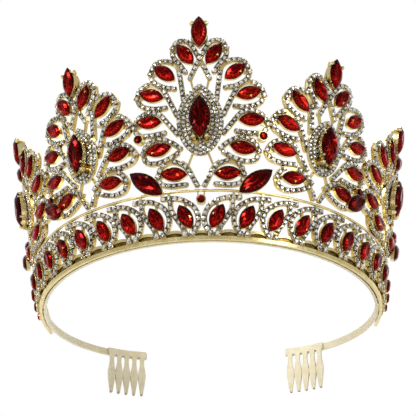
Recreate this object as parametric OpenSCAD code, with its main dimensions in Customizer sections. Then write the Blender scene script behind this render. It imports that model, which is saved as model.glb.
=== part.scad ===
// Tiara: a sprung hoop with a comb at each end carries a curved, leaning lattice panel.
// The panel is a tier of leaning navette stones under five stone-set plumes.
// Front is -Y and up is +Z; left and right are as seen from the front.
// The origin is the centre of the hoop's front arc, in the plane of its underside.

/* [Hoop] */
// Radius of the hoop's front half, to the middle of its strip
hoop_r = 73.4; // [70:0.2:78]
// Thickness of the hoop strip
hoop_t = 1.2; // [0.8:0.1:1.4]
// Height of the hoop strip
hoop_h = 3; // [2:0.1:4]
// Radius of each tail behind the ears
tail_r = 50; // [44:1:56]
// Angle that each tail turns through
tail_turn = 79; // [66:1:84]

/* [Combs] */
// Width of a comb along the tail
comb_w = 19; // [16:0.5:24]
// Thickness of a comb
comb_t = 1.1; // [0.8:0.1:1.5]
// Height of a comb's spine
spine_h = 3; // [2.6:0.2:6]
// Teeth on each comb
teeth = 5; // [4:1:7]
// Length of a tooth below the spine
tooth_len = 18.4; // [14:0.2:26]

/* [Panel] */
// Radius of the panel at its foot, to the middle of the metal
panel_r = 75.2; // [74.8:0.2:80]
// Angle that the panel leans outwards
lean = 9; // [4:1:14]
// Thickness of the lattice metal
metal_t = 1.2; // [1:0.1:1.6]
// Width of a lattice strand
strand_w = 2.2; // [1.8:0.1:2.4]
// Height of the lower rail up the panel
lower_rail_h = 1.5; // [1.2:0.1:3]
// Height of the upper rail's middle up the panel
upper_rail_h = 21; // [20.8:0.1:22]
// Angle from the front at which the lower rail ends
panel_end = 102; // [100:1:104]

/* [Stones] */
// Length of a petal or tier stone
petal_l = 10.8; // [9:0.1:11.2]
// Width of a petal or tier stone
petal_w = 5.4; // [4:0.1:5.6]
// Length of a plume's heart stone
heart_l = 18.2; // [15:0.2:18.6]
// Width of a plume's heart stone
heart_w = 8.4; // [7:0.2:8.6]
// Length of a plume's tip stone
tip_l = 13.6; // [11:0.2:14]
// Width of a plume's tip stone
tip_w = 6.2; // [5:0.1:6.4]
// Diameter of a round accent stone
accent_d = 3.6; // [3:0.1:4]

/* [Hidden] */
$fn = 48;

gold = [0.86, 0.74, 0.45];
pale_gold = [0.88, 0.82, 0.62];
ruby = [0.5, 0.01, 0.03];

face_d = metal_t / 2;              // the lattice's front face, out from its middle
plate_t = 1;                       // thickness of a plume's pave plate
plate_d = face_d + 0.05;           // the plate's back, out from the lattice's middle
rail_z = upper_rail_h * cos(lean); // height of the upper rail above the hoop's underside
wall_t = 0.35;                     // how far a setting's wall stands round its stone
ledge = 0.4;                       // how far a stone's girdle overlaps the wall
floor_t = 0.4;                     // floor of a setting
prong_r = 0.5;
stem_h = 1.7;                      // block that lifts a heart's cup above the pave
wire_w = 0.9;                      // plain wire struts
tail_x = hoop_r - tail_r;          // centre of each tail's arc
spine_top = hoop_h + 0.2;
comb_end = tail_turn - 0.5;
comb_angle = comb_w / tail_r * 180 / PI;
tier_h = 9.4;                      // height of the first tier stone's middle up the panel
tier_lean = 25;                    // how far the tier stones' tops lean outwards
tier_pitch = 8.9;                  // angle between tier stones
tier_full = 9;                     // full-size tier stones on each side
return_start = 86;                 // angle at which the upper rail turns down
drop_w = 3.4;
drop_h = 16.8;

// A tier stone's angle from the front, its height and its scale. The row tapers at its end.
TIER = concat(
    [for (i = [0 : tier_full - 1]) [4.7 + i * tier_pitch, tier_h + 0.1 * i, 1]],
    [[84, 9, 0.76], [90.3, 7.2, 0.6], [95, 5.4, 0.45]]
);

// Spacer stones on each side: angle, height, tilt from upright, length and width.
SPACERS = [[15.6, 24.6, 51, 17.2, 7], [50.4, 27.3, 53, 13.4, 6.4], [85, 26, 40, 12.4, 6]];
spacer_d = 1.6;                    // gap from the lattice's face to a spacer's setting

// Round accent stones on each side: angle and height.
ACCENTS = [[17.8, 45.3], [52.6, 33.7]];

// Petals of a full plume, from the top down, in millimetres out from its axis and up the
// panel: stone x, y and tilt from upright, upper strand, lower strand.
PETALS = [
    [5.9, 80.9, 34,
        [[11.4, 84.3], [9, 87.4], [5, 87], [2.2, 83.4], [0, 79], [-2.4, 74], [-4, 70.4]],
        [[11.4, 84.3], [11, 80.6], [8.6, 77.4], [6, 73.4]]],
    [14.5, 73.2, 49,
        [[21, 74], [18.6, 78.3], [14, 79], [9.6, 76.4], [8.2, 71], [6.9, 61]],
        [[21, 74], [19.4, 70.4], [15, 67.4], [10.6, 66.2]]],
    [20, 63.9, 70,
        [[27, 64], [25, 68], [20.5, 69.5], [16, 67], [13, 61.5], [9.8, 54.4]],
        [[27, 64], [24.5, 60.2], [19, 58.2], [14.4, 58]]],
    [21.1, 52.2, 82,
        [[28.2, 51], [26, 55], [21.5, 56.8], [17, 55.4], [13.4, 51], [9.6, 46]],
        [[28.2, 51], [26, 47.8], [21, 46.6], [14.8, 47]]],
    [17.1, 39.4, 98,
        [[24.2, 38.8], [22, 42.8], [17, 44.4], [12.2, 42.6], [8.2, 39.4]],
        [[24.2, 38.8], [22.4, 35], [18, 34], [13, 35.4], [9.4, 37.4]]],
    [10.8, 28, 84,
        [[17.8, 28], [16, 32], [11.5, 33.8], [7, 32], [4.6, 29]],
        [[17.8, 28], [16.4, 24.8], [12, 23.4], [6, 23.6]]]
];

// Wire loop behind a plume's tip stone
TIP_LOOP = [[2.2, 83], [3, 89], [2, 94], [0, 97]];

// Plumes: angle of the foot from the front, sideways drift with height, drop of the tip
// stone, heart height, plate's width and length scales, foot height, petals as [which, inward shift, drop], and
// the ends of a tie between two petals.
CENTRE = [
    0, 0, 0, 51.4, [1.03, 1.01], 31,
    [for (i = [0 : 5]) [i, 0, 0]], [[17.4, 44], [17.8, 47]]
];
MID = [
    37.6, 0.05, 9.2, 46.4, [0.9, 0.83], 29.4,
    [[0, 0, 9], [1, 0, 9], [2, 1.8, 10.8], [3, 2.8, 11.2], [4, 4.6, 10]], [[14.4, 33], [15, 36]]
];
OUTER = [
    74, 0.04, 15.4, 44.6, [0.8, 0.76], 30,
    [[0, 0, 15], [1, 0, 14.4], [2, 1, 16.4], [3, 2.4, 18], [5, 0.6, 0.4]], [[18.6, 38.4], [18.4, 42.4]]
];

// ---- Geometry of the panel ----

function on_panel(t, h, d) =
    let (r = panel_r + h * sin(lean) + d * cos(lean))
    [r * sin(t), -r * cos(t), h * cos(lean) - d * sin(lean)];

function turn(x, h) = x / (panel_r + h * sin(lean)) * 180 / PI;

// Angle of a point x out from a plume's axis. s is the plume's side and m the half of it.
function plume_turn(p, s, m, x, y) = s * (p[0] + p[1] * (y - 50)) + m * turn(x, y);

// Catmull-Rom curve through the points, n steps to a span.
function blend(a, b, c, d, u) =
    0.5 * (2 * b + (c - a) * u + (2 * a - 5 * b + 4 * c - d) * u * u
        + (3 * b - a - 3 * c + d) * u * u * u);

function smooth(p, n) =
    let (k = len(p) - 1)
    concat(
        [for (i = [0 : k - 1], j = [0 : n - 1])
            blend(i > 0 ? p[i - 1] : 2 * p[0] - p[1], p[i], p[i + 1],
                i < k - 1 ? p[i + 2] : 2 * p[k] - p[k - 1], j / n)],
        [p[k]]
    );

function side_step(path, i) =
    let (a = path[max(i - 1, 0)], b = path[min(i + 1, len(path) - 1)], v = b - a)
    [-v[1], v[0]] / norm(v);

// A point of the panel, seen along the panel's normal at the middle of a plume.
function flat(p, s, m, q) =
    let (
        t = plume_turn(p, s, m, q[0], q[1]) - s * p[0],
        r = panel_r + q[1] * sin(lean),
        z = q[1] * cos(lean)
    )
    [r * sin(t), z * cos(lean) + (r * cos(t) - panel_r) * sin(lean)];

// Flat outline of a strand, so that strands that cross melt into one lattice.
module strand(p, s, m, points, w = strand_w, n = 3) {
    path = smooth(points, n);
    edge = [for (c = [1, -1])
        [for (i = [0 : len(path) - 1]) flat(p, s, m, path[i] + c * side_step(path, i) * w / 2)]];
    polygon(concat(edge[0], [for (i = [len(path) - 1 : -1 : 0]) edge[1][i]]));
}

// Section of the panel's sheet between two heights above the ground plane.
function sheet(low, high) =
    let (half = [face_d / cos(lean), 0], a = [panel_r + low * tan(lean), low],
        b = [panel_r + high * tan(lean), high])
    [a - half, a + half, b + half, b - half];

// Cuts a flat lattice, laid out about angle t, out of the panel's curved sheet.
module cut_from_sheet(t, half_span, low, high) {
    intersection() {
        place(t, 0, -12)
            linear_extrude(16)
                offset(delta = 0.01)
                    children();
        rotate([0, 0, t - 90 - half_span])
            rotate_extrude(angle = 2 * half_span)
                polygon(sheet(low, high));
    }
}

// Stands its children on the panel at angle t and height h, facing outwards.
module place(t, h, d = 0, spin = 0) {
    rotate([0, 0, t])
        translate([0, -panel_r, 0])
            rotate([90 + lean, 0, 0])
                translate([0, h, d])
                    rotate([0, 0, spin])
                        children();
}

// ---- Stones and settings ----

// Radius of the two arcs that make a navette outline.
function navette_r(l, w) = (l * l + w * w) / (4 * w);

module navette_block(l, w, h) {
    r = navette_r(l, w);
    intersection() {
        translate([r - w / 2, 0, 0])
            cylinder(r = r, h = h);
        translate([w / 2 - r, 0, 0])
            cylinder(r = r, h = h);
    }
}

function navette_ring(l, w, z, n) =
    let (r = navette_r(l, w), a = asin(l / 2 / r))
    [for (s = [1, -1], i = [0 : n - 1])
        let (u = -a + 2 * a * i / n)
        [s * (r * cos(u) - r + w / 2), s * r * sin(u), z]];

// A faceted stone from its outline rings: culet, girdle and table. z = 0 is the girdle's foot.
module stone(girdle, girdle_top, table, depth) {
    k = len(girdle);
    points = concat([[0, 0, -depth]], girdle, girdle_top, table);
    faces = concat(
        [for (i = [0 : k - 1]) [0, 1 + i, 1 + (i + 1) % k]],
        [for (g = [1, 1 + k], i = [0 : k - 1], half = [0, 1])
            let (a = g + i, b = g + (i + 1) % k)
            half == 0 ? [a, b + k, b] : [a, a + k, b + k]],
        [for (i = [1 : k - 2]) [1 + 2 * k, 2 + 2 * k + i, 1 + 2 * k + i]]
    );
    polyhedron(points = points, faces = faces);
}

module navette_stone(l, w, n = 4) {
    stone(
        navette_ring(l, w, 0, n), navette_ring(l, w, 0.3, n),
        navette_ring(0.62 * l, 0.56 * w, 0.3 + 0.2 * w, n), 0.16 * w
    );
}

// A navette cup of height h on z = 0, with prongs at the given places along its walls.
module navette_setting(l, w, h, prongs) {
    outer_l = l + 2 * wall_t;
    outer_w = w + 2 * wall_t;
    r = navette_r(outer_l, outer_w);
    difference() {
        navette_block(outer_l, outer_w, h);
        translate([0, 0, floor_t])
            navette_block(l - 2 * ledge, w - 2 * ledge, h);
    }
    for (y = prongs, s = [-1, 1])
        translate([s * (sqrt(r * r - y * y) - r + outer_w / 2 + 0.1), y, 0])
            cylinder(r = prong_r, h = h + 0.9, $fn = 24);
}

module round_stone(d) {
    ring = [for (i = [0 : 7]) [cos(45 * i) * d / 2, sin(45 * i) * d / 2, 0]];
    up = [0, 0, 0.25];
    stone(
        ring, [for (q = ring) q + up],
        [for (q = ring) 0.58 * q + [0, 0, 0.25 + 0.2 * d]], 0.35 * d
    );
}

module round_setting(d, h) {
    difference() {
        cylinder(d = d + 2 * wall_t, h = h);
        translate([0, 0, floor_t])
            cylinder(d = d - 2 * ledge, h = h);
    }
}

// Height of a setting's wall, so that the stone's point clears the floor.
function cup_h(w) = floor_t + 0.16 * w + 0.2;

petal_cup = cup_h(petal_w);
heart_cup = stem_h + cup_h(heart_w);
tip_cup = cup_h(tip_w) + 0.9;
accent_cup = floor_t + 0.35 * accent_d + 0.2;

// ---- Hoop and combs ----

// The hoop: a half-circle front and two tails that close in behind the head.
module headband() {
    color(pale_gold) {
        rotate_extrude(angle = 180, start = 180)
            translate([hoop_r - hoop_t / 2, 0])
                square([hoop_t, hoop_h]);
        for (s = [0, 1])
            mirror([s, 0, 0])
                translate([tail_x, 0, 0])
                    rotate_extrude(angle = tail_turn)
                        translate([tail_r - hoop_t / 2, 0])
                            square([hoop_t, hoop_h]);
    }
}

// One leaf-shaped tooth, pointing down, with its root at the origin.
module tooth(w, len) {
    root = 0.24 * w;
    belly = 0.48 * w;
    tip_r = 0.17 * w;
    linear_extrude(comb_t, center = true)
        union() {
            polygon([
                [-root - 0.5, 0.4], [-root, -0.12 * len], [-root - 0.15, -0.24 * len],
                [-belly, -0.48 * len], [-belly + 0.1, -0.6 * len], [-0.3 * w, -0.82 * len],
                [-tip_r, -len], [tip_r, -len], [0.3 * w, -0.82 * len],
                [belly - 0.1, -0.6 * len], [belly, -0.48 * len], [root + 0.15, -0.24 * len],
                [root, -0.12 * len], [root + 0.5, 0.4]
            ]);
            translate([0, -len])
                circle(r = tip_r);
        }
}

// A comb, soldered to the inner face of one tail's end.
module comb(s) {
    r = tail_r - hoop_t / 2 - comb_t / 2;
    tooth_in = 0.08; // a flat tooth stands this far inside the curved hoop
    step = comb_angle / teeth;
    color(pale_gold)
        mirror([s < 0 ? 1 : 0, 0, 0])
            translate([tail_x, 0, 0]) {
                rotate([0, 0, comb_end - comb_angle])
                    rotate_extrude(angle = comb_angle)
                        translate([r - comb_t / 2, spine_top - spine_h])
                            square([comb_t, spine_h]);
                for (i = [0 : teeth - 1])
                    rotate([0, 0, comb_end - comb_angle + (i + 0.5) * step])
                        translate([r - tooth_in, 0, spine_top - spine_h])
                            rotate([90, 0, 90])
                                tooth(comb_w / teeth, tooth_len);
            }
}

// ---- Rails ----

// The panel's foot, with the solder dots that hold it to the hoop and a rounded end.
module lower_rail() {
    inner_r = panel_r - face_d / cos(lean);
    gap = inner_r - hoop_r - hoop_t / 2;
    color(gold) {
        rotate([0, 0, -90 - panel_end])
            rotate_extrude(angle = 2 * panel_end)
                polygon(sheet(0, lower_rail_h));
        for (t = [-84 : 28 : 84])
            rotate([0, 0, t - 90])
                translate([inner_r - gap, -0.8, 0.5])
                    cube([gap + 0.2, 1.6, 1.4]);
        for (s = [-1, 1])
            place(s * panel_end, 0.5 * lower_rail_h, -face_d)
                cylinder(r = 0.5 * lower_rail_h - 0.02, h = metal_t);
    }
}

// The round wire that the plumes stand on.
module upper_rail() {
    color(gold)
        rotate([0, 0, -90 - return_start])
            rotate_extrude(angle = 2 * return_start)
                translate([panel_r + upper_rail_h * sin(lean), rail_z])
                    circle(d = metal_t);
}

// ---- Tier ----

// The arc over a tier stone and the strand that hangs beside it, about the stone's middle.
TIER_ARC = [[-3.6, -5.2], [-5, -2.6], [-5, 1], [-3.1, 4.8], [1, 7.6], [5.2, 8.7], [9.2, 8.8]];
TIER_HANGER = [[6.2, 7.6], [5.9, 4], [3.7, -0.2], [1.5, -3.6], [0.4, -6.6]];
// Pads of the two rhinestones below it, and the arch from there to the next stone's pads
TIER_FEET = [[0.4, -6.8], [-2.6, -6.8]];
TIER_ARCH = [[0.4, -6.8], [2.6, -5.9], [4.9, -5.6], [7.2, -5.9], [9.4, -6.8]];
// The upper rail's end, turned down to the lower rail
RETURN = [[0, 21], [7.2, 20.2], [14.4, 15.6], [19.4, 9], [20.8, 2]];

// Angle at which a length of the tier frame ends: each is cut flat, three cells at a time.
function tier_split(n) = TIER[0][0] + (3 * n - 0.46) * tier_pitch;

// A point about a tier stone's middle, measured out from the angle mid instead.
function beside(g, mid, q) =
    let (y = g[1] + g[2] * q[1])
    [g[2] * q[0] + (g[0] - mid) * PI / 180 * (panel_r + y * sin(lean)), y];

module tier_frame(s) {
    color(gold)
        for (n = [0 : 3])
            let (
                from = n == 0 ? 0.2 : tier_split(n),
                to = n == 3 ? 110 : tier_split(n + 1) - 0.02,
                mid = (from + to) / 2
            )
            cut_from_sheet(s * mid, (to - from) / 2, lower_rail_h, rail_z + (n == 3 ? face_d : -face_d)) {
                for (k = [max(3 * n - 1, 0) : min(3 * n + 3, len(TIER) - 1)])
                    tier_cell(s, TIER[k], mid, k < tier_full);
                if (n == 3)
                    strand([mid, 0], s, s, [for (q = RETURN)
                        beside([return_start, 0, 1], mid, q)], 1.4);
            }
}

// The metal round one tier stone, with a post up to the upper rail if it is full size.
module tier_cell(s, g, mid, post) {
    about = [mid, 0];
    w = strand_w * g[2];
    strand(about, s, s, [for (q = TIER_ARC) beside(g, mid, q)], w);
    strand(about, s, s, [for (q = TIER_HANGER) beside(g, mid, q)], w);
    strand(about, s, s, [for (y = [-5, 7.2]) beside(g, mid, [0.1, y])], wire_w, 1);
    strand(about, s, s, [for (q = TIER_FEET) beside(g, mid, q)], 1.2, 1);
    for (q = TIER_FEET)
        strand(about, s, s, [for (y = [0, -3]) beside(g, mid, q + [0, y])], 1, 1);
    if (post)
        strand(about, s, s, [for (q = TIER_ARCH) beside(g, mid, q)], 1.2);
    for (q = concat(TIER_FEET, [TIER_ARC[6]]))
        translate(flat(about, s, s, beside(g, mid, q)))
            circle(r = w / 2 + 0.05, $fn = 16);
    if (post)
        strand(about, s, s, [for (y = [8, 12]) beside(g, mid, [6.8, y])], 1, 1);
}

module tier_settings(s) {
    color(gold)
        for (g = TIER)
            place(s * g[0], g[1], face_d, -s * tier_lean)
                navette_setting(petal_l * g[2], petal_w * g[2], petal_cup, []);
}

module tier_stones(s) {
    color(ruby)
        for (g = TIER)
            place(s * g[0], g[1], face_d + petal_cup, -s * tier_lean)
                navette_stone(petal_l * g[2], petal_w * g[2]);
}

module drop_setting() {
    color(gold)
        place(0, drop_h, -face_d) {
            round_setting(drop_w, metal_t + 1.2);
            for (s = [-1, 1])
                translate([s * 1.3 - 0.3, drop_w / 2 - 0.6, 0])
                    cube([0.6, upper_rail_h - face_d - drop_h - drop_w / 2 + 0.6, metal_t]);
        }
}

module drop_stone() {
    color(ruby)
        place(0, drop_h, face_d + 1.2)
            round_stone(drop_w);
}

// ---- Plumes ----

// Half-width of the egg-shaped plate at u, from -1 at its foot to 1 at its top.
function egg(u) = 9.3 * pow(1 - u * u, u > 0 ? 0.8 : 0.56);
egg_half = 15.8;
egg_rows = 9;

module plume_frame(p, s) {
    color(gold)
        cut_from_sheet(s * p[0], 26, rail_z + face_d, 110)
            for (m = [-1, 1]) {
                for (petal = p[6])
                    petal_loop(p, s, m, PETALS[petal[0]], -[petal[1], petal[2]]);
                // tie, foot, plate struts and the loop behind the tip stone
                strand(p, s, m, p[7], wire_w, 1);
                strand(p, s, m, [[8, p[5] + 2.4], [5.4, p[5]], [3.2, 26.4], [1.3, 22.6]]);
                strand(p, s, m, [[5.4, p[5]], [3, p[3] - 13.8 * p[4][1]]], wire_w, 1);
                strand(p, s, m, [[4, 70.6 - p[2]], [2.4, p[3] + 12 * p[4][1]]], wire_w, 1);
                strand(p, s, m, [for (q = TIP_LOOP) q - [0, p[2]]], 1.1);
            }
}

// One petal's two strands, the bar that holds its stone and the pads for their end rhinestones.
module petal_loop(p, s, m, petal, move) {
    mid = [petal[0], petal[1]] + move;
    upper = [for (q = petal[3]) q + move];
    lower = [for (q = petal[4]) q + move];
    strand(p, s, m, upper);
    strand(p, s, m, lower);
    strand(p, s, m, [mid, upper[0]], 1.4, 1);
    for (q = [upper[0] - [0.2, 0], upper[len(upper) - 1], lower[len(lower) - 1]])
        translate(flat(p, s, m, q))
            circle(r = strand_w / 2 + 0.05, $fn = 16);
}

// Stands its children at every petal of a plume.
module at_petals(p, s, d) {
    tilt = atan(p[1] * PI / 180 * panel_r);
    for (m = [-1, 1], petal = p[6])
        let (q = PETALS[petal[0]], x = q[0] - petal[1], y = q[1] - petal[2])
            place(plume_turn(p, s, m, x, y), y, d, -m * q[2] - s * tilt)
                children();
}

module petal_settings(p, s) {
    color(gold)
        at_petals(p, s, face_d)
            navette_setting(petal_l, petal_w, petal_cup, []);
}

module petal_stones(p, s) {
    color(ruby)
        at_petals(p, s, face_d + petal_cup)
            navette_stone(petal_l, petal_w);
}

// The curved egg-shaped plate that carries the pave and the heart stone.
module plume_plate(p, s) {
    cols = 4;
    k = cols + 1;
    layer = (egg_rows + 1) * k;
    points = [for (d = [plate_d, plate_d + plate_t], i = [0 : egg_rows], j = [-2 : 2])
        let (
            u = -0.98 * cos(180 * i / egg_rows),
            x = egg(u) * p[4][0] * j / 2,
            y = p[3] - 0.2 + egg_half * p[4][1] * u
        )
        on_panel(plume_turn(p, s, 1, x, y), y, d)];
    cells = [for (i = [0 : egg_rows - 1], j = [0 : cols - 1], half = [0, 1])
        let (a = i * k + j, b = a + 1, c = a + k + 1, e = a + k)
        half == 0 ? [a, b, c] : [a, c, e]];
    rim = concat(
        [for (j = [0 : cols - 1]) [j, j + 1]],
        [for (i = [0 : egg_rows - 1]) [i * k + cols, (i + 1) * k + cols]],
        [for (j = [cols : -1 : 1]) [egg_rows * k + j, egg_rows * k + j - 1]],
        [for (i = [egg_rows : -1 : 1]) [i * k, (i - 1) * k]]
    );
    walls = [for (e = rim, half = [0, 1])
        half == 0 ? [e[0], e[1] + layer, e[1]] : [e[0], e[0] + layer, e[1] + layer]];
    back = [for (f = cells) f];
    front = [for (f = cells) [f[2] + layer, f[1] + layer, f[0] + layer]];
    color(gold)
        polyhedron(points = points, faces = concat(back, front, walls));
}

// A plume's heart stone is smaller where its plate is.
function heart_scale(p) = pow(p[4][1], 0.3);

module heart_setting(p, s) {
    l = heart_l * heart_scale(p);
    w = heart_w * heart_scale(p);
    color(gold)
        place(plume_turn(p, s, 1, 0, p[3]), p[3], plate_d + plate_t) {
            navette_block(l - 3.4, w - 2.6, stem_h + 0.1);
            translate([0, 0, stem_h])
                navette_setting(l, w, heart_cup - stem_h, [-5, 5]);
        }
}

module heart_stone(p, s) {
    color(ruby)
        place(plume_turn(p, s, 1, 0, p[3]), p[3], plate_d + plate_t + heart_cup)
            navette_stone(heart_l * heart_scale(p), heart_w * heart_scale(p), 5);
}

module tip_setting(p, s) {
    y = 90.6 - p[2];
    color(gold)
        place(plume_turn(p, s, 1, 0, y), y, face_d)
            navette_setting(tip_l, tip_w, tip_cup, [4]);
}

module tip_stone(p, s) {
    y = 90.6 - p[2];
    color(ruby)
        place(plume_turn(p, s, 1, 0, y), y, face_d + tip_cup)
            navette_stone(tip_l, tip_w, 5);
}

// ---- Between the plumes ----

module spacer_settings(s) {
    color(gold)
        for (g = SPACERS)
            place(s * g[0], g[1], face_d, -s * g[2]) {
                translate([0, 0, spacer_d])
                    navette_setting(g[3], g[4], cup_h(g[4]), []);
                translate([0, -1.5, 0])
                    cylinder(r = 1, h = spacer_d + 0.2, $fn = 24);
            }
}

module spacer_stones(s) {
    color(ruby)
        for (g = SPACERS)
            place(s * g[0], g[1], face_d + spacer_d + cup_h(g[4]), -s * g[2])
                navette_stone(g[3], g[4], 5);
}

module accent_settings() {
    color(gold)
        for (s = [-1, 1], g = ACCENTS)
            place(s * g[0], g[1], -face_d)
                round_setting(accent_d, metal_t + accent_cup);
}

module accent_stones() {
    color(ruby)
        for (s = [-1, 1], g = ACCENTS)
            place(s * g[0], g[1], face_d + accent_cup)
                round_stone(accent_d);
}

// Short bars that tie each plume to the next.
module plume_links() {
    color(gold)
        for (s = [-1, 1]) {
            place(s * 21.4, 52.4, -face_d, s * 20)
                translate([-1.6, -0.7, 0])
                    cube([3.2, 1.4, metal_t]);
            place(s * 55.2, 51.4, -face_d, -s * 48)
                translate([-1.6, -0.7, 0])
                    cube([3.2, 1.4, metal_t]);
        }
}

headband();
comb(-1);  // comb_left
comb(1);  // comb_right
lower_rail();
upper_rail();
tier_frame(-1);  // tier_frame_left
tier_frame(1);  // tier_frame_right
tier_settings(-1);  // tier_settings_left
tier_settings(1);  // tier_settings_right
tier_stones(-1);  // tier_stones_left
tier_stones(1);  // tier_stones_right
drop_setting();
drop_stone();
plume_links();
accent_settings();
accent_stones();
spacer_settings(-1);  // spacer_settings_left
spacer_settings(1);  // spacer_settings_right
spacer_stones(-1);  // spacer_stones_left
spacer_stones(1);  // spacer_stones_right
plume_frame(CENTRE, 1);  // centre_frame
plume_plate(CENTRE, 1);  // centre_plate
petal_settings(CENTRE, 1);  // centre_petal_settings
petal_stones(CENTRE, 1);  // centre_petal_stones
heart_setting(CENTRE, 1);  // centre_heart_setting
heart_stone(CENTRE, 1);  // centre_heart_stone
tip_setting(CENTRE, 1);  // centre_tip_setting
tip_stone(CENTRE, 1);  // centre_tip_stone
plume_frame(MID, -1);  // mid_left_frame
plume_plate(MID, -1);  // mid_left_plate
petal_settings(MID, -1);  // mid_left_petal_settings
petal_stones(MID, -1);  // mid_left_petal_stones
heart_setting(MID, -1);  // mid_left_heart_setting
heart_stone(MID, -1);  // mid_left_heart_stone
tip_setting(MID, -1);  // mid_left_tip_setting
tip_stone(MID, -1);  // mid_left_tip_stone
plume_frame(MID, 1);  // mid_right_frame
plume_plate(MID, 1);  // mid_right_plate
petal_settings(MID, 1);  // mid_right_petal_settings
petal_stones(MID, 1);  // mid_right_petal_stones
heart_setting(MID, 1);  // mid_right_heart_setting
heart_stone(MID, 1);  // mid_right_heart_stone
tip_setting(MID, 1);  // mid_right_tip_setting
tip_stone(MID, 1);  // mid_right_tip_stone
plume_frame(OUTER, -1);  // outer_left_frame
plume_plate(OUTER, -1);  // outer_left_plate
petal_settings(OUTER, -1);  // outer_left_petal_settings
petal_stones(OUTER, -1);  // outer_left_petal_stones
heart_setting(OUTER, -1);  // outer_left_heart_setting
heart_stone(OUTER, -1);  // outer_left_heart_stone
tip_setting(OUTER, -1);  // outer_left_tip_setting
tip_stone(OUTER, -1);  // outer_left_tip_stone
plume_frame(OUTER, 1);  // outer_right_frame
plume_plate(OUTER, 1);  // outer_right_plate
petal_settings(OUTER, 1);  // outer_right_petal_settings
petal_stones(OUTER, 1);  // outer_right_petal_stones
heart_setting(OUTER, 1);  // outer_right_heart_setting
heart_stone(OUTER, 1);  // outer_right_heart_stone
tip_setting(OUTER, 1);  // outer_right_tip_setting
tip_stone(OUTER, 1);  // outer_right_tip_stone
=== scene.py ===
"""Looks for the tiara: cut stones, rhinestones in their cups, pave, prongs, metals, light and camera."""
import math
import random
from collections import namedtuple

import bpy
import numpy as np
from mathutils import Matrix, Vector


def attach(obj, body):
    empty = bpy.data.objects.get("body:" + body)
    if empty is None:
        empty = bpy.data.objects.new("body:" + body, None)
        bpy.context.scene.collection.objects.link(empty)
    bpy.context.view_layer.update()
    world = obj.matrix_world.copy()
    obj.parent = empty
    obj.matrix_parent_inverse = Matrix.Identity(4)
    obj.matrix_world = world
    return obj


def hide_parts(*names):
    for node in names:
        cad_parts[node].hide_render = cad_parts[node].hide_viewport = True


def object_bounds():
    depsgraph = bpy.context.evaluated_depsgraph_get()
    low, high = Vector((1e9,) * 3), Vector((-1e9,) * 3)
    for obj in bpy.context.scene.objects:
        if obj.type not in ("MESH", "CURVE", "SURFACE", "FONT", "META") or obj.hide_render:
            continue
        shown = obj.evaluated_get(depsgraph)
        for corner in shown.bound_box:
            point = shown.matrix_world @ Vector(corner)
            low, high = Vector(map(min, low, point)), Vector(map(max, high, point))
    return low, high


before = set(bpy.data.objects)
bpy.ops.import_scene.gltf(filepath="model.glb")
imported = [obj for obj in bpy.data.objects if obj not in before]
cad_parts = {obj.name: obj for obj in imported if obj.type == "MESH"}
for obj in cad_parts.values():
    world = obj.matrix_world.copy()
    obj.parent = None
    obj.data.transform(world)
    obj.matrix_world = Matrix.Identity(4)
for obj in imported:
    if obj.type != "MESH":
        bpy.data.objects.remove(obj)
cad_low, cad_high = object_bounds()
rng = random.Random(7)

# ---- The panel as the CAD lays it out, in millimetres and degrees ----
PANEL_R, LEAN = 75.2, math.radians(9)
FACE_D = 0.6          # half the sheet's thickness
PLATE_D = 1.65        # front of a plume's plate
PETAL_CUP, TIP_CUP, ACCENT_CUP, HEART_CUP = 1.464, 2.492, 1.86, 3.644     # height of each cup's rim
PETAL, HEART, TIP = (10.8, 5.4), (18.2, 8.4), (13.6, 6.2)                 # length and width of each stone
ACCENT_SIZE, DROP_SIZE = 3.6, 3.4                                         # the round stones
DROP_H, DROP_CUP = 16.8, 1.2
SPACER_POST, SPACER_FLOOR, CUP_GROWTH = 1.6, 0.6, 0.16      # growth: cup depth for each mm of width
LIP = 0.5             # a cut stone is this much larger than its CAD stone, and hides its cup's rim
TIP_H = 90.6          # height of the centre plume's tip stone
TIP_SINK = 0.15       # how far a tip stone sits down in its cup, which keeps it inside the CAD's box
EGG_W, EGG_H, EGG_DROP = 9.3, 15.8, 0.2          # a plate's half width and half height, and its shift down
PLUME_FOOT = 50       # the height about which a side plume drifts

TIER_TILT = 25        # how far each tier stone leans, in degrees
# each tier stone's angle, height and scale, then the lattice about it
TIER = [(4.7 + 8.9 * i, 9.4 + 0.1 * i, 1) for i in range(9)]
TIER += [(84, 9, 0.76), (90.3, 7.2, 0.6), (95, 5.4, 0.45)]
TIER_ARC = [(-3.6, -5.2), (-5, -2.6), (-5, 1), (-3.1, 4.8), (1, 7.6), (5.2, 8.7), (9.2, 8.8)]
TIER_HANGER = [(6.2, 7.6), (5.9, 4), (3.7, -0.2), (1.5, -3.6), (0.4, -6.6)]
TIER_FEET = [(0.4, -6.8), (-2.6, -6.8)]
TIER_ARCH = [(0.4, -6.8), (2.6, -5.9), (4.9, -5.6), (7.2, -5.9), (9.4, -6.8)]
MIDDLE_ARCH = [(-2.8, 2.6), (-1.5, 3.6), (0, 3.9), (1.5, 3.6), (2.8, 2.6)]
RAIL_H = 1.2          # a little below the lower rail's top
WEB_D, ARCH_D = (-0.5, -0.1), (-0.45, 0.5)       # back and front of a web, and of the middle arch

# each spacer stone's angle, height, tilt, length and width, and each accent stone's angle and height
SPACERS = [(15.6, 24.6, 51, 17.2, 7), (50.4, 27.3, 53, 13.4, 6.4), (85, 26, 40, 12.4, 6)]
ACCENTS = [(17.8, 45.3), (52.6, 33.7)]

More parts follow.
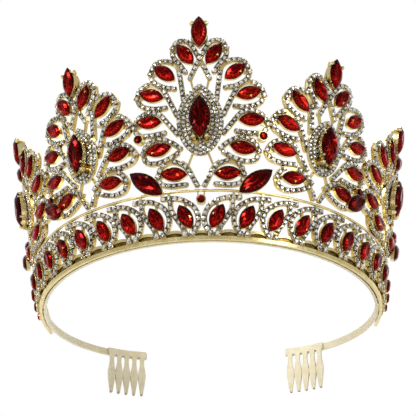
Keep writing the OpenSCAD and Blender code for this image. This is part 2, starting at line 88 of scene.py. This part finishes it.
# a petal stone's place and tilt on a plume, then the strand over it and the strand under it
Petal = namedtuple("Petal", "x y tilt upper lower")
PETALS = [Petal(*row) for row in (
    (5.9, 80.9, 34, [(11.4, 84.3), (9, 87.4), (5, 87), (2.2, 83.4), (0, 79), (-2.4, 74), (-4, 70.4)],
     [(11.4, 84.3), (11, 80.6), (8.6, 77.4), (6, 73.4)]),
    (14.5, 73.2, 49, [(21, 74), (18.6, 78.3), (14, 79), (9.6, 76.4), (8.2, 71), (6.9, 61)],
     [(21, 74), (19.4, 70.4), (15, 67.4), (10.6, 66.2)]),
    (20, 63.9, 70, [(27, 64), (25, 68), (20.5, 69.5), (16, 67), (13, 61.5), (9.8, 54.4)],
     [(27, 64), (24.5, 60.2), (19, 58.2), (14.4, 58)]),
    (21.1, 52.2, 82, [(28.2, 51), (26, 55), (21.5, 56.8), (17, 55.4), (13.4, 51), (9.6, 46)],
     [(28.2, 51), (26, 47.8), (21, 46.6), (14.8, 47)]),
    (17.1, 39.4, 98, [(24.2, 38.8), (22, 42.8), (17, 44.4), (12.2, 42.6), (8.2, 39.4)],
     [(24.2, 38.8), (22.4, 35), (18, 34), (13, 35.4), (9.4, 37.4)]),
    (10.8, 28, 84, [(17.8, 28), (16, 32), (11.5, 33.8), (7, 32), (4.6, 29)],
     [(17.8, 28), (16.4, 24.8), (12, 23.4), (6, 23.6)]),
)]

# a plume's angle, drift in degrees per mm of height, how far its tip is lowered, its heart's height, its
# plate's scale, the height of its lowest strand, and its petals as (which, moved inwards, moved down)
Plume = namedtuple("Plume", "angle drift lowered heart plate strand petals")
CENTRE = Plume(0, 0, 0, 51.4, (1.03, 1.01), 31, [(i, 0, 0) for i in range(6)])
MID = Plume(37.6, 0.05, 9.2, 46.4, (0.9, 0.83), 29.4,
            [(0, 0, 9), (1, 0, 9), (2, 1.8, 10.8), (3, 2.8, 11.2), (4, 4.6, 10)])
OUTER = Plume(74, 0.04, 15.4, 44.6, (0.8, 0.76), 30,
              [(0, 0, 15), (1, 0, 14.4), (2, 1, 16.4), (3, 2.4, 18), (5, 0.6, 0.4)])
PLUMES = [("centre", CENTRE, 1), ("mid_left", MID, -1), ("mid_right", MID, 1),
          ("outer_left", OUTER, -1), ("outer_right", OUTER, 1)]
SIDES = [("left", -1), ("right", 1)]

# how each kind of stone is cut, with the painted light and painted glints on its facets, for Heap.add
BRIGHT_CUT = dict(jitter=0.14, painted_light=0.24, glint=0.5)
DEEP_CUT = dict(jitter=0.14, painted_light=0.16, glint=0.6)
ROUND_CUT = dict(jitter=0.2)
STONE_D, STONE_PITCH, STONE_GAP = 2.12, 2.36, 1.85      # rhinestones along a strand
LEAST_SCALE = 0.62                                      # of the rhinestones about the smallest tier stones
PAVE_PITCH, PAVE_SCALE, PAVE_GAP = 1.86, 0.86, 1.8
PAVE_RINGS = (0.9, 2.75, 4.6, 6.45, 8.3)                # each ring's depth in from the plate's edge
TIP_PRONG, HEART_PRONG = (3.0, 3.9), (2.6, -8.2)        # each stone's prongs, from its middle


def seat(t, h, d=0.0, spin=0.0):
    """The frame at angle t and height h of the panel: X along it, Y up it and Z out of it."""
    a, s = math.radians(t), math.radians(spin)
    along = np.array([math.cos(a), math.sin(a), 0])
    up = np.array([math.sin(LEAN) * math.sin(a), -math.sin(LEAN) * math.cos(a), math.cos(LEAN)])
    m = np.eye(4)
    m[:3, 0] = math.cos(s) * along + math.sin(s) * up
    m[:3, 1] = math.cos(s) * up - math.sin(s) * along
    m[:3, 2] = np.cross(along, up)
    m[:3, 3] = PANEL_R * np.array([math.sin(a), -math.cos(a), 0]) + h * up + d * m[:3, 2]
    return m


def radius(h):
    """The panel's radius at height h up it."""
    return PANEL_R + h * math.sin(LEAN)


def on_plume(p, s, m):
    """Plume coordinates to (angle, height)."""
    return lambda q: (s * (p.angle + p.drift * (q[1] - PLUME_FOOT))
                      + m * math.degrees(q[0] / radius(q[1])), q[1])


def heart_scale(p):
    """How a heart stone grows with its plate."""
    return p.plate[1] ** 0.3


def on_cell(g, s):
    """Coordinates about a tier stone to (angle, height)."""
    def at(q):
        h = g[1] + g[2] * q[1]
        return s * (g[0] + math.degrees(g[2] * q[0] / radius(h))), h
    return at


def smooth(points, n=10):
    """A smooth curve through points, with n steps from each to the next."""
    p = [np.array(q, float) for q in points]
    p = [2 * p[0] - p[1]] + p + [2 * p[-1] - p[-2]]
    out = []
    for a, b, c, d in zip(p, p[1:], p[2:], p[3:]):
        for j in range(n):
            u = j / n
            out.append(0.5 * (2 * b + (c - a) * u + (2 * a - 5 * b + 4 * c - d) * u * u
                              + (3 * b - a - 3 * c + d) * u ** 3))
    return out + [p[-2]]


def spread(path, pitch, inset):
    """Points at an even pitch along a path, each with its direction."""
    p = np.array(path)
    at = np.concatenate([[0], np.cumsum(np.linalg.norm(np.diff(p, axis=0), axis=1))])
    n = max(1, round((at[-1] - 2 * inset) / pitch))
    out = []
    for u in np.linspace(inset, at[-1] - inset, n + 1):
        a = [np.interp(v, at, p[:, k]) for v in (u - 0.05, u + 0.05) for k in (0, 1)]
        out.append(((a[0] + a[2]) / 2, (a[1] + a[3]) / 2, a[2] - a[0], a[3] - a[1]))
    return out


# ---- Shapes, in millimetres, with their foot on Z = 0 ----
class Shape:
    """Corners and faces, and a tone from 0 to 1 for each face, which on a stone is its facet's painted
    light.
    """

    def __init__(self, verts, faces, tones=None):
        self.v, self.f = np.array(verts, float), faces
        self.tone = tones or [0.5] * len(faces)

    def __add__(self, other):
        k = len(self.v)
        return Shape(np.vstack([self.v, other.v]), self.f + [tuple(i + k for i in f) for f in other.f],
                     self.tone + other.tone)

    def moved(self, x=0, y=0, z=0):
        return Shape(self.v + np.array([x, y, z]), self.f, self.tone)


def rings(levels):
    """Stacked rings of equal length, closed below and above by flat caps."""
    k = len(levels[0])
    v = [q for ring in levels for q in ring]
    f = [tuple(range(k - 1, -1, -1))]
    for r in range(len(levels) - 1):
        a, b = r * k, (r + 1) * k
        f += [(a + i, a + (i + 1) % k, b + (i + 1) % k, b + i) for i in range(k)]
    top = (len(levels) - 1) * k
    f.append(tuple(top + i for i in range(k)))
    return Shape(v, f)


def circle(r, z, n, turn=0.0):
    """n corners around a circle, turned by a part of one step."""
    steps = [2 * math.pi * (i + turn) / n for i in range(n)]
    return [(r * math.cos(a), r * math.sin(a), z) for a in steps]


def crown(girdle, mid, table, heart, depth):
    """A cut stone: pavilion, girdle, two rows of crown facets and a table that shows its culet star, all in
    tones of painted light.
    """
    k = len(girdle)
    low = [(x, y, 0) for x, y, z in girdle]
    v = [(0, 0, -depth)] + low + list(girdle) + list(mid) + list(table) + list(heart)
    f, tone = [], []
    lo, gi, mi, ta = 1, 1 + k, 1 + 2 * k, 1 + 3 * k
    he = ta + k
    for i in range(k):
        j = (i + 1) % k
        # each facet's tone is painted light: the pavilion and girdle dark, the crown brighter and the table
        # brightest, as light reflected and refracted in a stone shows them
        f += [(0, lo + j, lo + i), (lo + i, lo + j, gi + j, gi + i)]
        tone += [0.15, 0.35]
        f += [(gi + i, gi + j, mi + i), (mi + i, gi + j, mi + j)]
        tone += [0.18, 0.5]
        f += [(mi + i, mi + j, ta + j), (ta + i, mi + i, ta + j)]
        tone += [0.36, 0.8]
        if len(heart) == 1:
            f.append((ta + i, ta + j, he))
            tone.append((1.0, 0.62)[i % 2])
        else:
            a = 0 if (i < k // 2) else 1
            b = 0 if (j < k // 2) else 1
            f.append((ta + i, ta + j, he + a) if a == b else (ta + i, ta + j, he + b, he + a))
            tone.append((0.85, 0.3, 0.6)[i % 3])
    return Shape(v, f, tone)


def round_stone(d, n=8):
    """A round cut stone with its girdle on Z = 0 and its point below."""
    r = d / 2
    return crown(circle(r, 0.12, n), circle(0.86 * r, 0.12 + 0.12 * d, n, 0.5),
                 circle(0.58 * r, 0.12 + 0.2 * d, n, 1), [(0, 0, 0.12 + 0.17 * d)], 0.2 * d)


def arc_radius(l, w):
    """The radius of the two arcs that meet in a navette l long and w wide."""
    return (l * l + w * w) / (4 * w)


def navette_ring(l, w, z, k, half=0.0):
    """k corners along each of a navette's two arcs."""
    r = arc_radius(l, w)
    a = math.asin(l / 2 / r)
    out = []
    for s in (1, -1):
        for i in range(k):
            u = -a + 2 * a * (i + half) / k
            out.append((s * (r * math.cos(u) - r + w / 2), s * r * math.sin(u), z))
    return out


def navette_stone(l, w, k=7):
    """A pointed oval cut stone with its girdle on Z = 0 and its point below."""
    girdle = 0.3
    top, culet = girdle + 0.2 * w, girdle + 0.16 * w
    return crown(navette_ring(l, w, girdle, k), navette_ring(0.84 * l, 0.82 * w, girdle + 0.11 * w, k, 0.5),
                 navette_ring(0.62 * l, 0.54 * w, top, k, 0.0),
                 [(0, 0.13 * l, culet), (0, -0.13 * l, culet)], 0.15 * w)


def square(a, z):
    return [(-a, -a, z), (a, -a, z), (a, a, z), (-a, a, z)]


def block(a, z0, z1, taper=0.9):
    """A square block whose upper quarter tapers in."""
    return rings([square(a, z0), square(a, z0 + 0.75 * (z1 - z0)), square(a * taper, z1)])


def bead(r, h, n):
    """A post with a rounded top."""
    return rings([circle(r, 0, n), circle(r, 0.6 * h, n),
                  circle(0.72 * r, 0.88 * h, n), circle(0.3 * r, h, n)])


def web(curve, at, s, back, front, tall=None):
    """A plate under a curve on the panel: as tall as given, or else down to the lower rail."""
    levels = []
    for q in smooth(curve, 4):
        t, h = at(q)
        low = h - tall if tall else RAIL_H
        corners = [(low, back), (h, back), (h, front), (low, front)]
        levels.append([seat(t, y, d)[:3, 3] for y, d in corners][::s])
    return rings(levels)


RHINESTONE = round_stone(STONE_D).moved(z=0.5)
CUP = block(1.04, -0.04, 0.56)
for cx in (-1, 1):
    for cy in (-1, 1):
        CUP = CUP + bead(0.25, 0.5, 5).moved(0.83 * cx, 0.83 * cy, 0.45)
BACK = rings([circle(0.55, -0.34, 8), circle(0.84, -0.2, 8), circle(0.92, 0.04, 8)])


FACETS_PER_STEP, FLASHING_FACET, GLINT_TONE = 7, 5, 2.0     # crown() makes seven facets at each step


class Heap:
    """Many small shapes in one mesh."""

    def __init__(self):
        self.v, self.f, self.tone, self.count = [], [], [], 0

    def add(self, shape, m, jitter=0.0, scale=1.0, painted_light=0.0, glint=0.0):
        """jitter varies the facets' tones at random, painted light makes a stone's lower facets brighter
        than its upper ones, and glint is the chance that one facet gets a painted flash."""
        v = shape.v * scale @ m[:3, :3].T + m[:3, 3]
        self.v.append(v)
        self.f += [tuple(i + self.count for i in f) for f in shape.f]
        half = max(1e-6, np.max(np.abs(v[:, 2] - m[2, 3])))
        whole = 0.6 * rng.uniform(-jitter, jitter)
        for f, t in zip(shape.f, shape.tone):
            # painted light: a facet's tone rises the lower it sits on the stone
            rise = sum(v[i, 2] - m[2, 3] for i in f) / len(f) / half
            self.tone.append(min(1, max(0, t + whole - painted_light * rise + rng.uniform(-jitter, jitter))))
        # a painted glint: one upper crown facet is given the flash tone
        if rng.random() < glint:
            first, step = len(self.tone) - len(shape.f), FACETS_PER_STEP
            self.tone[first + step * rng.randrange(len(shape.f) // step) + FLASHING_FACET] = GLINT_TONE
        self.count += len(v)

    def piece(self, name, material, slot, *replaced):
        """The heap as one object on the root body, which takes the place of the CAD nodes named."""
        mesh = bpy.data.meshes.new(name)
        mesh.from_pydata(np.vstack(self.v) * 0.001, [], self.f)
        layer = mesh.attributes.new("tone", "FLOAT", "FACE")
        layer.data.foreach_set("value", np.array(self.tone, np.float32))
        mesh.materials.append(material)
        mesh.update()
        o = bpy.data.objects.new(name, mesh)
        bpy.context.scene.collection.objects.link(o)
        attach(o, "root")
        if replaced:
            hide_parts(*replaced)
        return o


# ---- Materials ----
GLASS_IOR, CELL_DEPTH = 1.6, 0.18


def nodes_of(name):
    """A new material, its node tree and its surface shader."""
    mat = bpy.data.materials.new(name)
    mat.use_nodes = True
    t = mat.node_tree
    t.nodes.clear()
    out = t.nodes.new("ShaderNodeOutputMaterial")
    b = t.nodes.new("ShaderNodeBsdfPrincipled")
    t.links.new(b.outputs[0], out.inputs[0])
    return mat, t, b


def noise(t, scale, detail=3.0, rough=0.55):
    n = t.nodes.new("ShaderNodeTexNoise")
    n.inputs["Scale"].default_value = scale
    n.inputs["Detail"].default_value = detail
    n.inputs["Roughness"].default_value = rough
    c = t.nodes.new("ShaderNodeTexCoord")
    t.links.new(c.outputs["Object"], n.inputs["Vector"])
    return n.outputs["Fac"]


def ramp(t, fac, stops):
    r = t.nodes.new("ShaderNodeValToRGB")
    e = r.color_ramp.elements
    while len(e) < len(stops):
        e.new(0.5)
    for k, (at, colour) in enumerate(stops):
        e[k].position, e[k].color = at, (*colour, 1)
    t.links.new(fac, r.inputs[0])
    return r.outputs[0]


def spread_to(t, fac, low, high, frm=(0.3, 0.7)):
    """fac, stretched from one range to another."""
    m = t.nodes.new("ShaderNodeMapRange")
    m.inputs["From Min"].default_value, m.inputs["From Max"].default_value = frm
    m.inputs["To Min"].default_value, m.inputs["To Max"].default_value = low, high
    t.links.new(fac, m.inputs["Value"])
    return m.outputs[0]


def maths(t, kind, *values):
    m = t.nodes.new("ShaderNodeMath")
    m.operation = kind
    for socket, value in zip(m.inputs, values):
        if isinstance(value, (int, float)):
            socket.default_value = value
        else:
            t.links.new(value, socket)
    return m.outputs[0]


def mixed(t, kind, fac, a, b):
    m = t.nodes.new("ShaderNodeMix")
    m.data_type, m.blend_type = "RGBA", kind
    for socket, value in ((m.inputs[0], fac), (m.inputs[6], a), (m.inputs[7], b)):
        if isinstance(value, (int, float)):
            socket.default_value = value
        elif isinstance(value, tuple):
            socket.default_value = (*value, 1)
        else:
            t.links.new(value, socket)
    return m.outputs[2]


def bumped(t, b, fac, strength, distance):
    n = t.nodes.new("ShaderNodeBump")
    n.inputs["Strength"].default_value = strength
    n.inputs["Distance"].default_value = distance
    t.links.new(fac, n.inputs["Height"])
    t.links.new(n.outputs[0], b.inputs["Normal"])


def metal(name, light, shade, recess_shade_tint, rough, metallic=1.0):
    """Plated metal: its tint drifts over millimetres, its recesses are darkened by painted shade, and it is
    finely pitted.
    """
    mat, t, b = nodes_of(name)
    tint = ramp(t, noise(t, 240), [(0.32, shade), (0.62, light)])
    # painted shade: ambient occlusion darkens the tint in recesses and where parts meet
    ao = t.nodes.new("ShaderNodeAmbientOcclusion")
    ao.samples = 6
    ao.inputs["Distance"].default_value = 0.0016
    painted_recess_shade = ramp(t, ao.outputs["AO"], [(0.25, recess_shade_tint), (0.85, (1, 1, 1))])
    t.links.new(mixed(t, "MULTIPLY", 1.0, tint, painted_recess_shade), b.inputs["Base Color"])
    b.inputs["Metallic"].default_value = metallic
    t.links.new(spread_to(t, noise(t, 900, 4), rough - 0.06, rough + 0.12), b.inputs["Roughness"])
    bumped(t, b, noise(t, 2200, 3), 0.25, 0.00006)
    return mat


def gem(name, stops, glint, metallic, rough, cell, clear):
    """A foiled stone: each facet's tone is painted light, as reflected and refracted in it, broken up by
    painted facets seen through it.
    """
    mat, t, b = nodes_of(name)
    tone = t.nodes.new("ShaderNodeAttribute")
    tone.attribute_name = "tone"
    cells = t.nodes.new("ShaderNodeTexVoronoi")
    cells.inputs["Scale"].default_value = cell
    c = t.nodes.new("ShaderNodeTexCoord")
    t.links.new(c.outputs["Object"], cells.inputs["Vector"])
    split = t.nodes.new("ShaderNodeSeparateColor")
    t.links.new(cells.outputs["Color"], split.inputs[0])
    # a painted pattern of the facets seen through the stone, added to each facet's painted light
    painted_refraction = maths(t, "MULTIPLY_ADD", split.outputs[0], CELL_DEPTH, -CELL_DEPTH / 2)
    both = maths(t, "ADD", painted_refraction, tone.outputs["Fac"])
    half = maths(t, "MULTIPLY", both, 0.5)      # tones run to 2, and a ramp only to 1
    stops = [(at / 2, colour) for at, colour in stops] + [(0.62, stops[-1][1]), (0.85, glint)]
    t.links.new(ramp(t, half, stops), b.inputs["Base Color"])
    b.inputs["Metallic"].default_value = metallic
    b.inputs["IOR"].default_value = GLASS_IOR
    t.links.new(spread_to(t, noise(t, 500), rough, rough + 0.08), b.inputs["Roughness"])
    b.inputs["Coat Weight"].default_value = clear
    b.inputs["Coat Roughness"].default_value = 0.02
    b.inputs["Coat IOR"].default_value = GLASS_IOR
    bumped(t, b, split.outputs[1], 0.2, 0.00006)
    return mat


# name, light and deep tint, which drift at random, tint of the painted shade in recesses, roughness, and
# how metallic
gold = metal("gold_plate", (0.93, 0.8, 0.43), (0.8, 0.63, 0.25), (0.24, 0.16, 0.04), 0.2)
# a gold dark enough to be painted shadow, for the webs under the low arches
painted_shadow_gold = metal("shaded_gold", (0.42, 0.28, 0.06), (0.06, 0.033, 0.008), (0.1, 0.06, 0.02), 0.25)
pale_gold = metal("pale_gold_strip", (0.88, 0.82, 0.64), (0.81, 0.73, 0.5), (0.42, 0.33, 0.15), 0.55, 0.2)
# name, colour at each tone of painted light, colour of the painted flash, how metallic, roughness, cells
# per metre and clear coat
ruby = gem("ruby_glass",
           [(0.1, (0.02, 0, 0)), (0.42, (0.11, 0, 0)), (0.74, (0.27, 0, 0)), (0.99, (0.62, 0.016, 0.005))],
           (1, 0.6, 0.16), 1.0, 0.12, 900, 0.07)
deep_ruby = gem("deep_ruby_glass",
                [(0.1, (0.008, 0, 0)), (0.5, (0.05, 0, 0)), (0.85, (0.15, 0, 0)),
                 (1.0, (0.5, 0.01, 0.005))],
                (0.9, 0.2, 0.12), 1.0, 0.12, 600, 0.07)
crystal = gem("clear_rhinestone",
              [(0.2, (0.035, 0.033, 0.028)), (0.42, (0.19, 0.18, 0.155)), (0.6, (0.66, 0.64, 0.58)),
               (0.8, (1, 1, 0.97))],
              (1, 1, 0.98), 0.7, 0.06, 1600, 0.6)

for name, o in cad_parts.items():
    strip = name == "headband" or name.startswith("comb")
    o.data.materials.clear()
    o.data.materials.append(pale_gold if strip else gold)

# ---- Red stones ----
for side, s in SIDES:
    heap = Heap()
    for t, h, k in TIER:
        heap.add(navette_stone(PETAL[0] * k + LIP, PETAL[1] * k + LIP),
                 seat(s * t, h, FACE_D + PETAL_CUP, -s * TIER_TILT), **BRIGHT_CUT)
    heap.piece(f"tier_gems_{side}", ruby, "ruby", f"tier_stones_{side}")
    heap = Heap()
    for t, h, tilt, l, w in SPACERS:
        rim = FACE_D + SPACER_POST + SPACER_FLOOR + CUP_GROWTH * w
        heap.add(navette_stone(l + LIP, w + LIP, 8), seat(s * t, h, rim, -s * tilt), **DEEP_CUT)
    heap.piece(f"spacer_gems_{side}", deep_ruby, "ruby", f"spacer_stones_{side}")

heap = Heap()
for side, s in SIDES:
    for t, h in ACCENTS:
        heap.add(round_stone(ACCENT_SIZE), seat(s * t, h, FACE_D + ACCENT_CUP), **ROUND_CUT)
heap.piece("accent_gems", deep_ruby, "ruby", "accent_stones")
heap = Heap()
heap.add(round_stone(DROP_SIZE), seat(0, DROP_H, FACE_D + DROP_CUP), **ROUND_CUT)
heap.piece("drop_gem", deep_ruby, "ruby", "drop_stone")


def egg(u):
    """Half the plate's width at height u, which runs from -1 to 1."""
    return EGG_W * max(0.0, 1 - u * u) ** (0.8 if u > 0 else 0.56)


def egg_outline(p, n=120):
    """The plate's edge, counter-clockwise, in plume coordinates."""
    us = [-math.cos(math.pi * i / n) for i in range(n + 1)]
    right = [(egg(u) * p.plate[0], p.heart - EGG_DROP + EGG_H * p.plate[1] * u) for u in us]
    return np.array(right + [(-x, y) for x, y in right[-2:0:-1]])


def in_navette(x, y, l, w):
    r = arc_radius(l, w)
    return math.hypot(abs(x) + r - w / 2, y) < r


for name, p, s in PLUMES:
    lean_back = math.degrees(math.atan(math.radians(p.drift) * PANEL_R))
    axis = on_plume(p, s, 1)
    heap = Heap()
    for m in (-1, 1):
        for which, inward, drop in p.petals:
            q = PETALS[which]
            t, h = on_plume(p, s, m)((q.x - inward, q.y - drop))
            heap.add(navette_stone(PETAL[0] + LIP, PETAL[1] + LIP),
                     seat(t, h, FACE_D + PETAL_CUP, -m * q.tilt - s * lean_back), **BRIGHT_CUT)
    heap.piece(f"{name}_petal_gems", ruby, "ruby", f"{name}_petal_stones")
    k = heart_scale(p)
    heap = Heap()
    t, h = axis((0, p.heart))
    heap.add(navette_stone(HEART[0] * k + LIP, HEART[1] * k + LIP, 9),
             seat(t, h, PLATE_D + HEART_CUP), **DEEP_CUT)
    heap.piece(f"{name}_heart_gem", deep_ruby, "ruby", f"{name}_heart_stone")
    heap = Heap()
    t, h = axis((0, TIP_H - p.lowered))
    heap.add(navette_stone(TIP[0] + LIP, TIP[1] + LIP, 8),
             seat(t, h, FACE_D + TIP_CUP - TIP_SINK), **BRIGHT_CUT)
    heap.piece(f"{name}_tip_gem", ruby, "ruby", f"{name}_tip_stone")

# ---- Rhinestones on the strands ----
class Row:
    """Rhinestones with their cups and the domes behind them, never two in one place."""

    def __init__(self, taken=()):
        self.stones, self.cups, self.taken = Heap(), Heap(), list(taken)

    def put(self, t, h, d, spin, scale=1.0, gap=STONE_GAP, back=True):
        """One stone, unless another is nearer than gap or a taken place is within its own radius."""
        here = seat(t, h, 0)[:3, 3]
        if any(np.linalg.norm(here - q) < max(gap * scale, r) for q, r in self.taken):
            return
        self.taken.append((here, 0.0))
        turn = spin + rng.uniform(-5, 5)
        self.stones.add(RHINESTONE, seat(t, h, d, turn + rng.uniform(0, 45)), 0.35, scale)
        self.cups.add(CUP, seat(t, h, d, turn), 0.0, scale)
        if back:
            self.cups.add(BACK, seat(t, h, -FACE_D, turn), 0.0, scale)

    def string(self, points, at, pitch, inset, skip=None, scale=1.0):
        """Stones along a curve, apart from those that skip turns down."""
        for x, y, dx, dy in spread(smooth(points), pitch, inset):
            if skip and skip(x, y):
                continue
            (t0, h0), (t1, h1) = at((x - dx, y - dy)), at((x + dx, y + dy))
            spin = math.degrees(math.atan2(h1 - h0, math.radians(t1 - t0) * radius(y)))
            t, h = at((x, y))
            self.put(t, h, FACE_D, spin, scale)


# the accent stones' cups are kept clear
held = [(seat(s * t, h)[:3, 3], 2.9) for _, s in SIDES for t, h in ACCENTS]
for name, p, s in PLUMES:
    row = Row(held)
    outline = egg_outline(p)

    def under_plate(x, y):
        """Whether a strand's stone would be under the plate."""
        u = (y - p.heart + EGG_DROP) / (EGG_H * p.plate[1] + 0.1)
        return abs(u) < 1 and abs(x) < egg(u) * p.plate[0] + 0.1

    for m in (1, -1):
        at = on_plume(p, s, m)
        for which, inward, drop in p.petals:
            for strand in (PETALS[which].upper, PETALS[which].lower):
                row.string([(x - inward, y - drop) for x, y in strand], at, STONE_PITCH, 0.3, under_plate)
        lowest = [(8, p.strand + 2.4), (5.4, p.strand), (3.2, 26.4), (1.3, 22.9)]
        row.string(lowest, at, STONE_PITCH, 0.3, under_plate)
    row.stones.piece(f"{name}_rhinestones", crystal, "crystal")
    row.cups.piece(f"{name}_cups", gold, "gold")

    # pave: rings of stones that follow the plate's edge, with the heart's cup and its prongs left free
    k = heart_scale(p)
    axis = on_plume(p, s, 1)
    prongs = [axis((m * HEART_PRONG[0] * k, p.heart + HEART_PRONG[1] * k)) for m in (-1, 1)]
    pave = Row([(seat(*place)[:3, 3], 1.95) for place in prongs])
    step = np.roll(outline, -1, 0) - np.roll(outline, 1, 0)
    inward = np.stack([-step[:, 1], step[:, 0]], 1) / np.linalg.norm(step, axis=1)[:, None]
    for depth in PAVE_RINGS:
        # only what is left of the outline once it is moved in, so that a ring never crosses itself
        ring = [q for q in outline + inward * depth
                if np.min(np.linalg.norm(outline - q, axis=1)) > depth - 0.12]
        if len(ring) < 4:
            continue
        ring = np.array(ring + [ring[0]])
        for x, y, dx, dy in spread(ring, PAVE_PITCH, 0.0)[:-1]:
            if in_navette(x, y - p.heart, HEART[0] * k - 1.2, HEART[1] * k - 0.4):
                continue
            t, h = axis((x, y))
            pave.put(t, h, PLATE_D, math.degrees(math.atan2(dy, dx)), PAVE_SCALE, PAVE_GAP, False)
    pave.stones.piece(f"{name}_pave", crystal, "crystal")
    pave.cups.piece(f"{name}_pave_cups", gold, "gold")

for side, s in SIDES:
    row = Row()
    for g in TIER:
        at = on_cell(g, s)
        k = max(g[2], LEAST_SCALE)
        pitch = STONE_PITCH / g[2] * k
        for foot in TIER_FEET:
            t, h = at(foot)
            row.put(t, h, FACE_D, 0, 1.1 * k, 1.7)
        row.string(TIER_ARC[::-1], at, pitch, 0.2, scale=k)
        row.string(TIER_HANGER, at, pitch, 0.6, scale=k)
    row.stones.piece(f"tier_rhinestones_{side}", crystal, "crystal")
    row.cups.piece(f"tier_cups_{side}", gold, "gold")
    # webs: the hoop's strip seen behind each low arch, in a dark gold that is painted shadow
    heap = Heap()
    for g in TIER:
        heap.add(web(TIER_ARCH, on_cell(g, s), s, *WEB_D), np.eye(4))
    heap.piece(f"tier_shadow_webs_{side}", painted_shadow_gold, "gold")
# the same strip under the middle arch, also in the painted-shadow gold
heap = Heap()
heap.add(web(MIDDLE_ARCH, tuple, 1, *WEB_D), np.eye(4))
heap.piece("middle_shadow_web", painted_shadow_gold, "gold")
heap = Heap()
heap.add(web(MIDDLE_ARCH, tuple, 1, *ARCH_D, tall=1.0), np.eye(4))
heap.piece("middle_arch", gold, "gold")

# ---- Prongs ----
heap = Heap()
for name, p, s in PLUMES:
    axis = on_plume(p, s, 1)
    t, h = axis((0, TIP_H - p.lowered))
    for m in (-1, 1):
        heap.add(bead(1.05, 1.9, 10).moved(m * TIP_PRONG[0], TIP_PRONG[1]),
                 seat(t, h, FACE_D + TIP_CUP - 1.05))
    k = heart_scale(p)
    t, h = axis((0, p.heart))
    for m in (-1, 1):
        heap.add(bead(1.15, 4.3, 10).moved(m * HEART_PRONG[0] * k, HEART_PRONG[1] * k),
                 seat(t, h, PLATE_D))
heap.piece("prong_beads", gold, "gold")

# ---- Camera, floor and light ----
scene = bpy.context.scene
scene.view_settings.view_transform = "Standard"
eye, target = Vector((0.02887, -0.61734, -0.27421)), Vector((-0.00106, 0, 0.05442))
cam = bpy.data.objects.new("camera", bpy.data.cameras.new("camera"))
cam.data.sensor_width, cam.data.lens = 36, 131.3
cam.data.clip_start, cam.data.clip_end = 0.02, 20
turn = (target - eye).to_track_quat("-Z", "Y").to_matrix() @ Matrix.Rotation(math.radians(-0.297), 3, "Z")
cam.matrix_world = Matrix.Translation(eye) @ turn.to_4x4()
scene.collection.objects.link(cam)
scene.camera = cam

# the floor is clear from below, where the camera is
mesh = bpy.data.meshes.new("floor")
mesh.from_pydata(square(4, cad_low[2] - 0.0002), [], [(0, 1, 2, 3)])
floor = bpy.data.objects.new("floor", mesh)
scene.collection.objects.link(floor)
mat, t, b = nodes_of("floor")
t.links.new(ramp(t, noise(t, 6), [(0.3, (0.83, 0.83, 0.83)), (0.7, (0.86, 0.86, 0.86))]),
            b.inputs["Base Color"])
b.inputs["Roughness"].default_value = 0.7
side_of = t.nodes.new("ShaderNodeNewGeometry")
see_through = t.nodes.new("ShaderNodeBsdfTransparent")
both = t.nodes.new("ShaderNodeMixShader")
t.links.new(side_of.outputs["Backfacing"], both.inputs[0])
t.links.new(b.outputs[0], both.inputs[1])
t.links.new(see_through.outputs[0], both.inputs[2])
t.links.new(both.outputs[0], t.nodes["Material Output"].inputs[0])
mesh.materials.append(mat)

# the studio is brighter behind the tiara than in front of it
world = bpy.data.worlds.new("studio")
scene.world = world
world.use_nodes = True
t = world.node_tree
t.nodes.clear()
out = t.nodes.new("ShaderNodeOutputWorld")
back = t.nodes.new("ShaderNodeBackground")
coord = t.nodes.new("ShaderNodeTexCoord")
axes = t.nodes.new("ShaderNodeSeparateXYZ")
t.links.new(coord.outputs["Generated"], axes.inputs[0])
behind = spread_to(t, axes.outputs["Y"], 0, 1, (-1, 1))
t.links.new(ramp(t, behind, [(0.2, (0.46, 0.46, 0.465)), (0.7, (0.58, 0.58, 0.585)), (0.87, (1, 1, 1))]),
            back.inputs[0])
t.links.new(back.outputs[0], out.inputs[0])


def softbox(name, at, aim, size, power):
    """A rectangular soft light at a place in metres, aimed at another."""
    data = bpy.data.lights.new(name, "AREA")
    data.shape, data.size, data.size_y, data.energy = "RECTANGLE", size[0], size[1], power
    o = bpy.data.objects.new(name, data)
    o.location = at
    o.rotation_euler = (Vector(aim) - Vector(at)).to_track_quat("-Z", "Y").to_euler()
    scene.collection.objects.link(o)


softbox("key", (-0.55, -0.85, 0.75), (0, -0.03, 0.04), (0.35, 0.35), 7)
softbox("fill", (0.75, -0.8, 0.35), (0, -0.03, 0.04), (0.4, 0.5), 2)
softbox("top", (0.05, 0.3, 1.1), (0, 0, 0.03), (0.5, 0.5), 3.4)
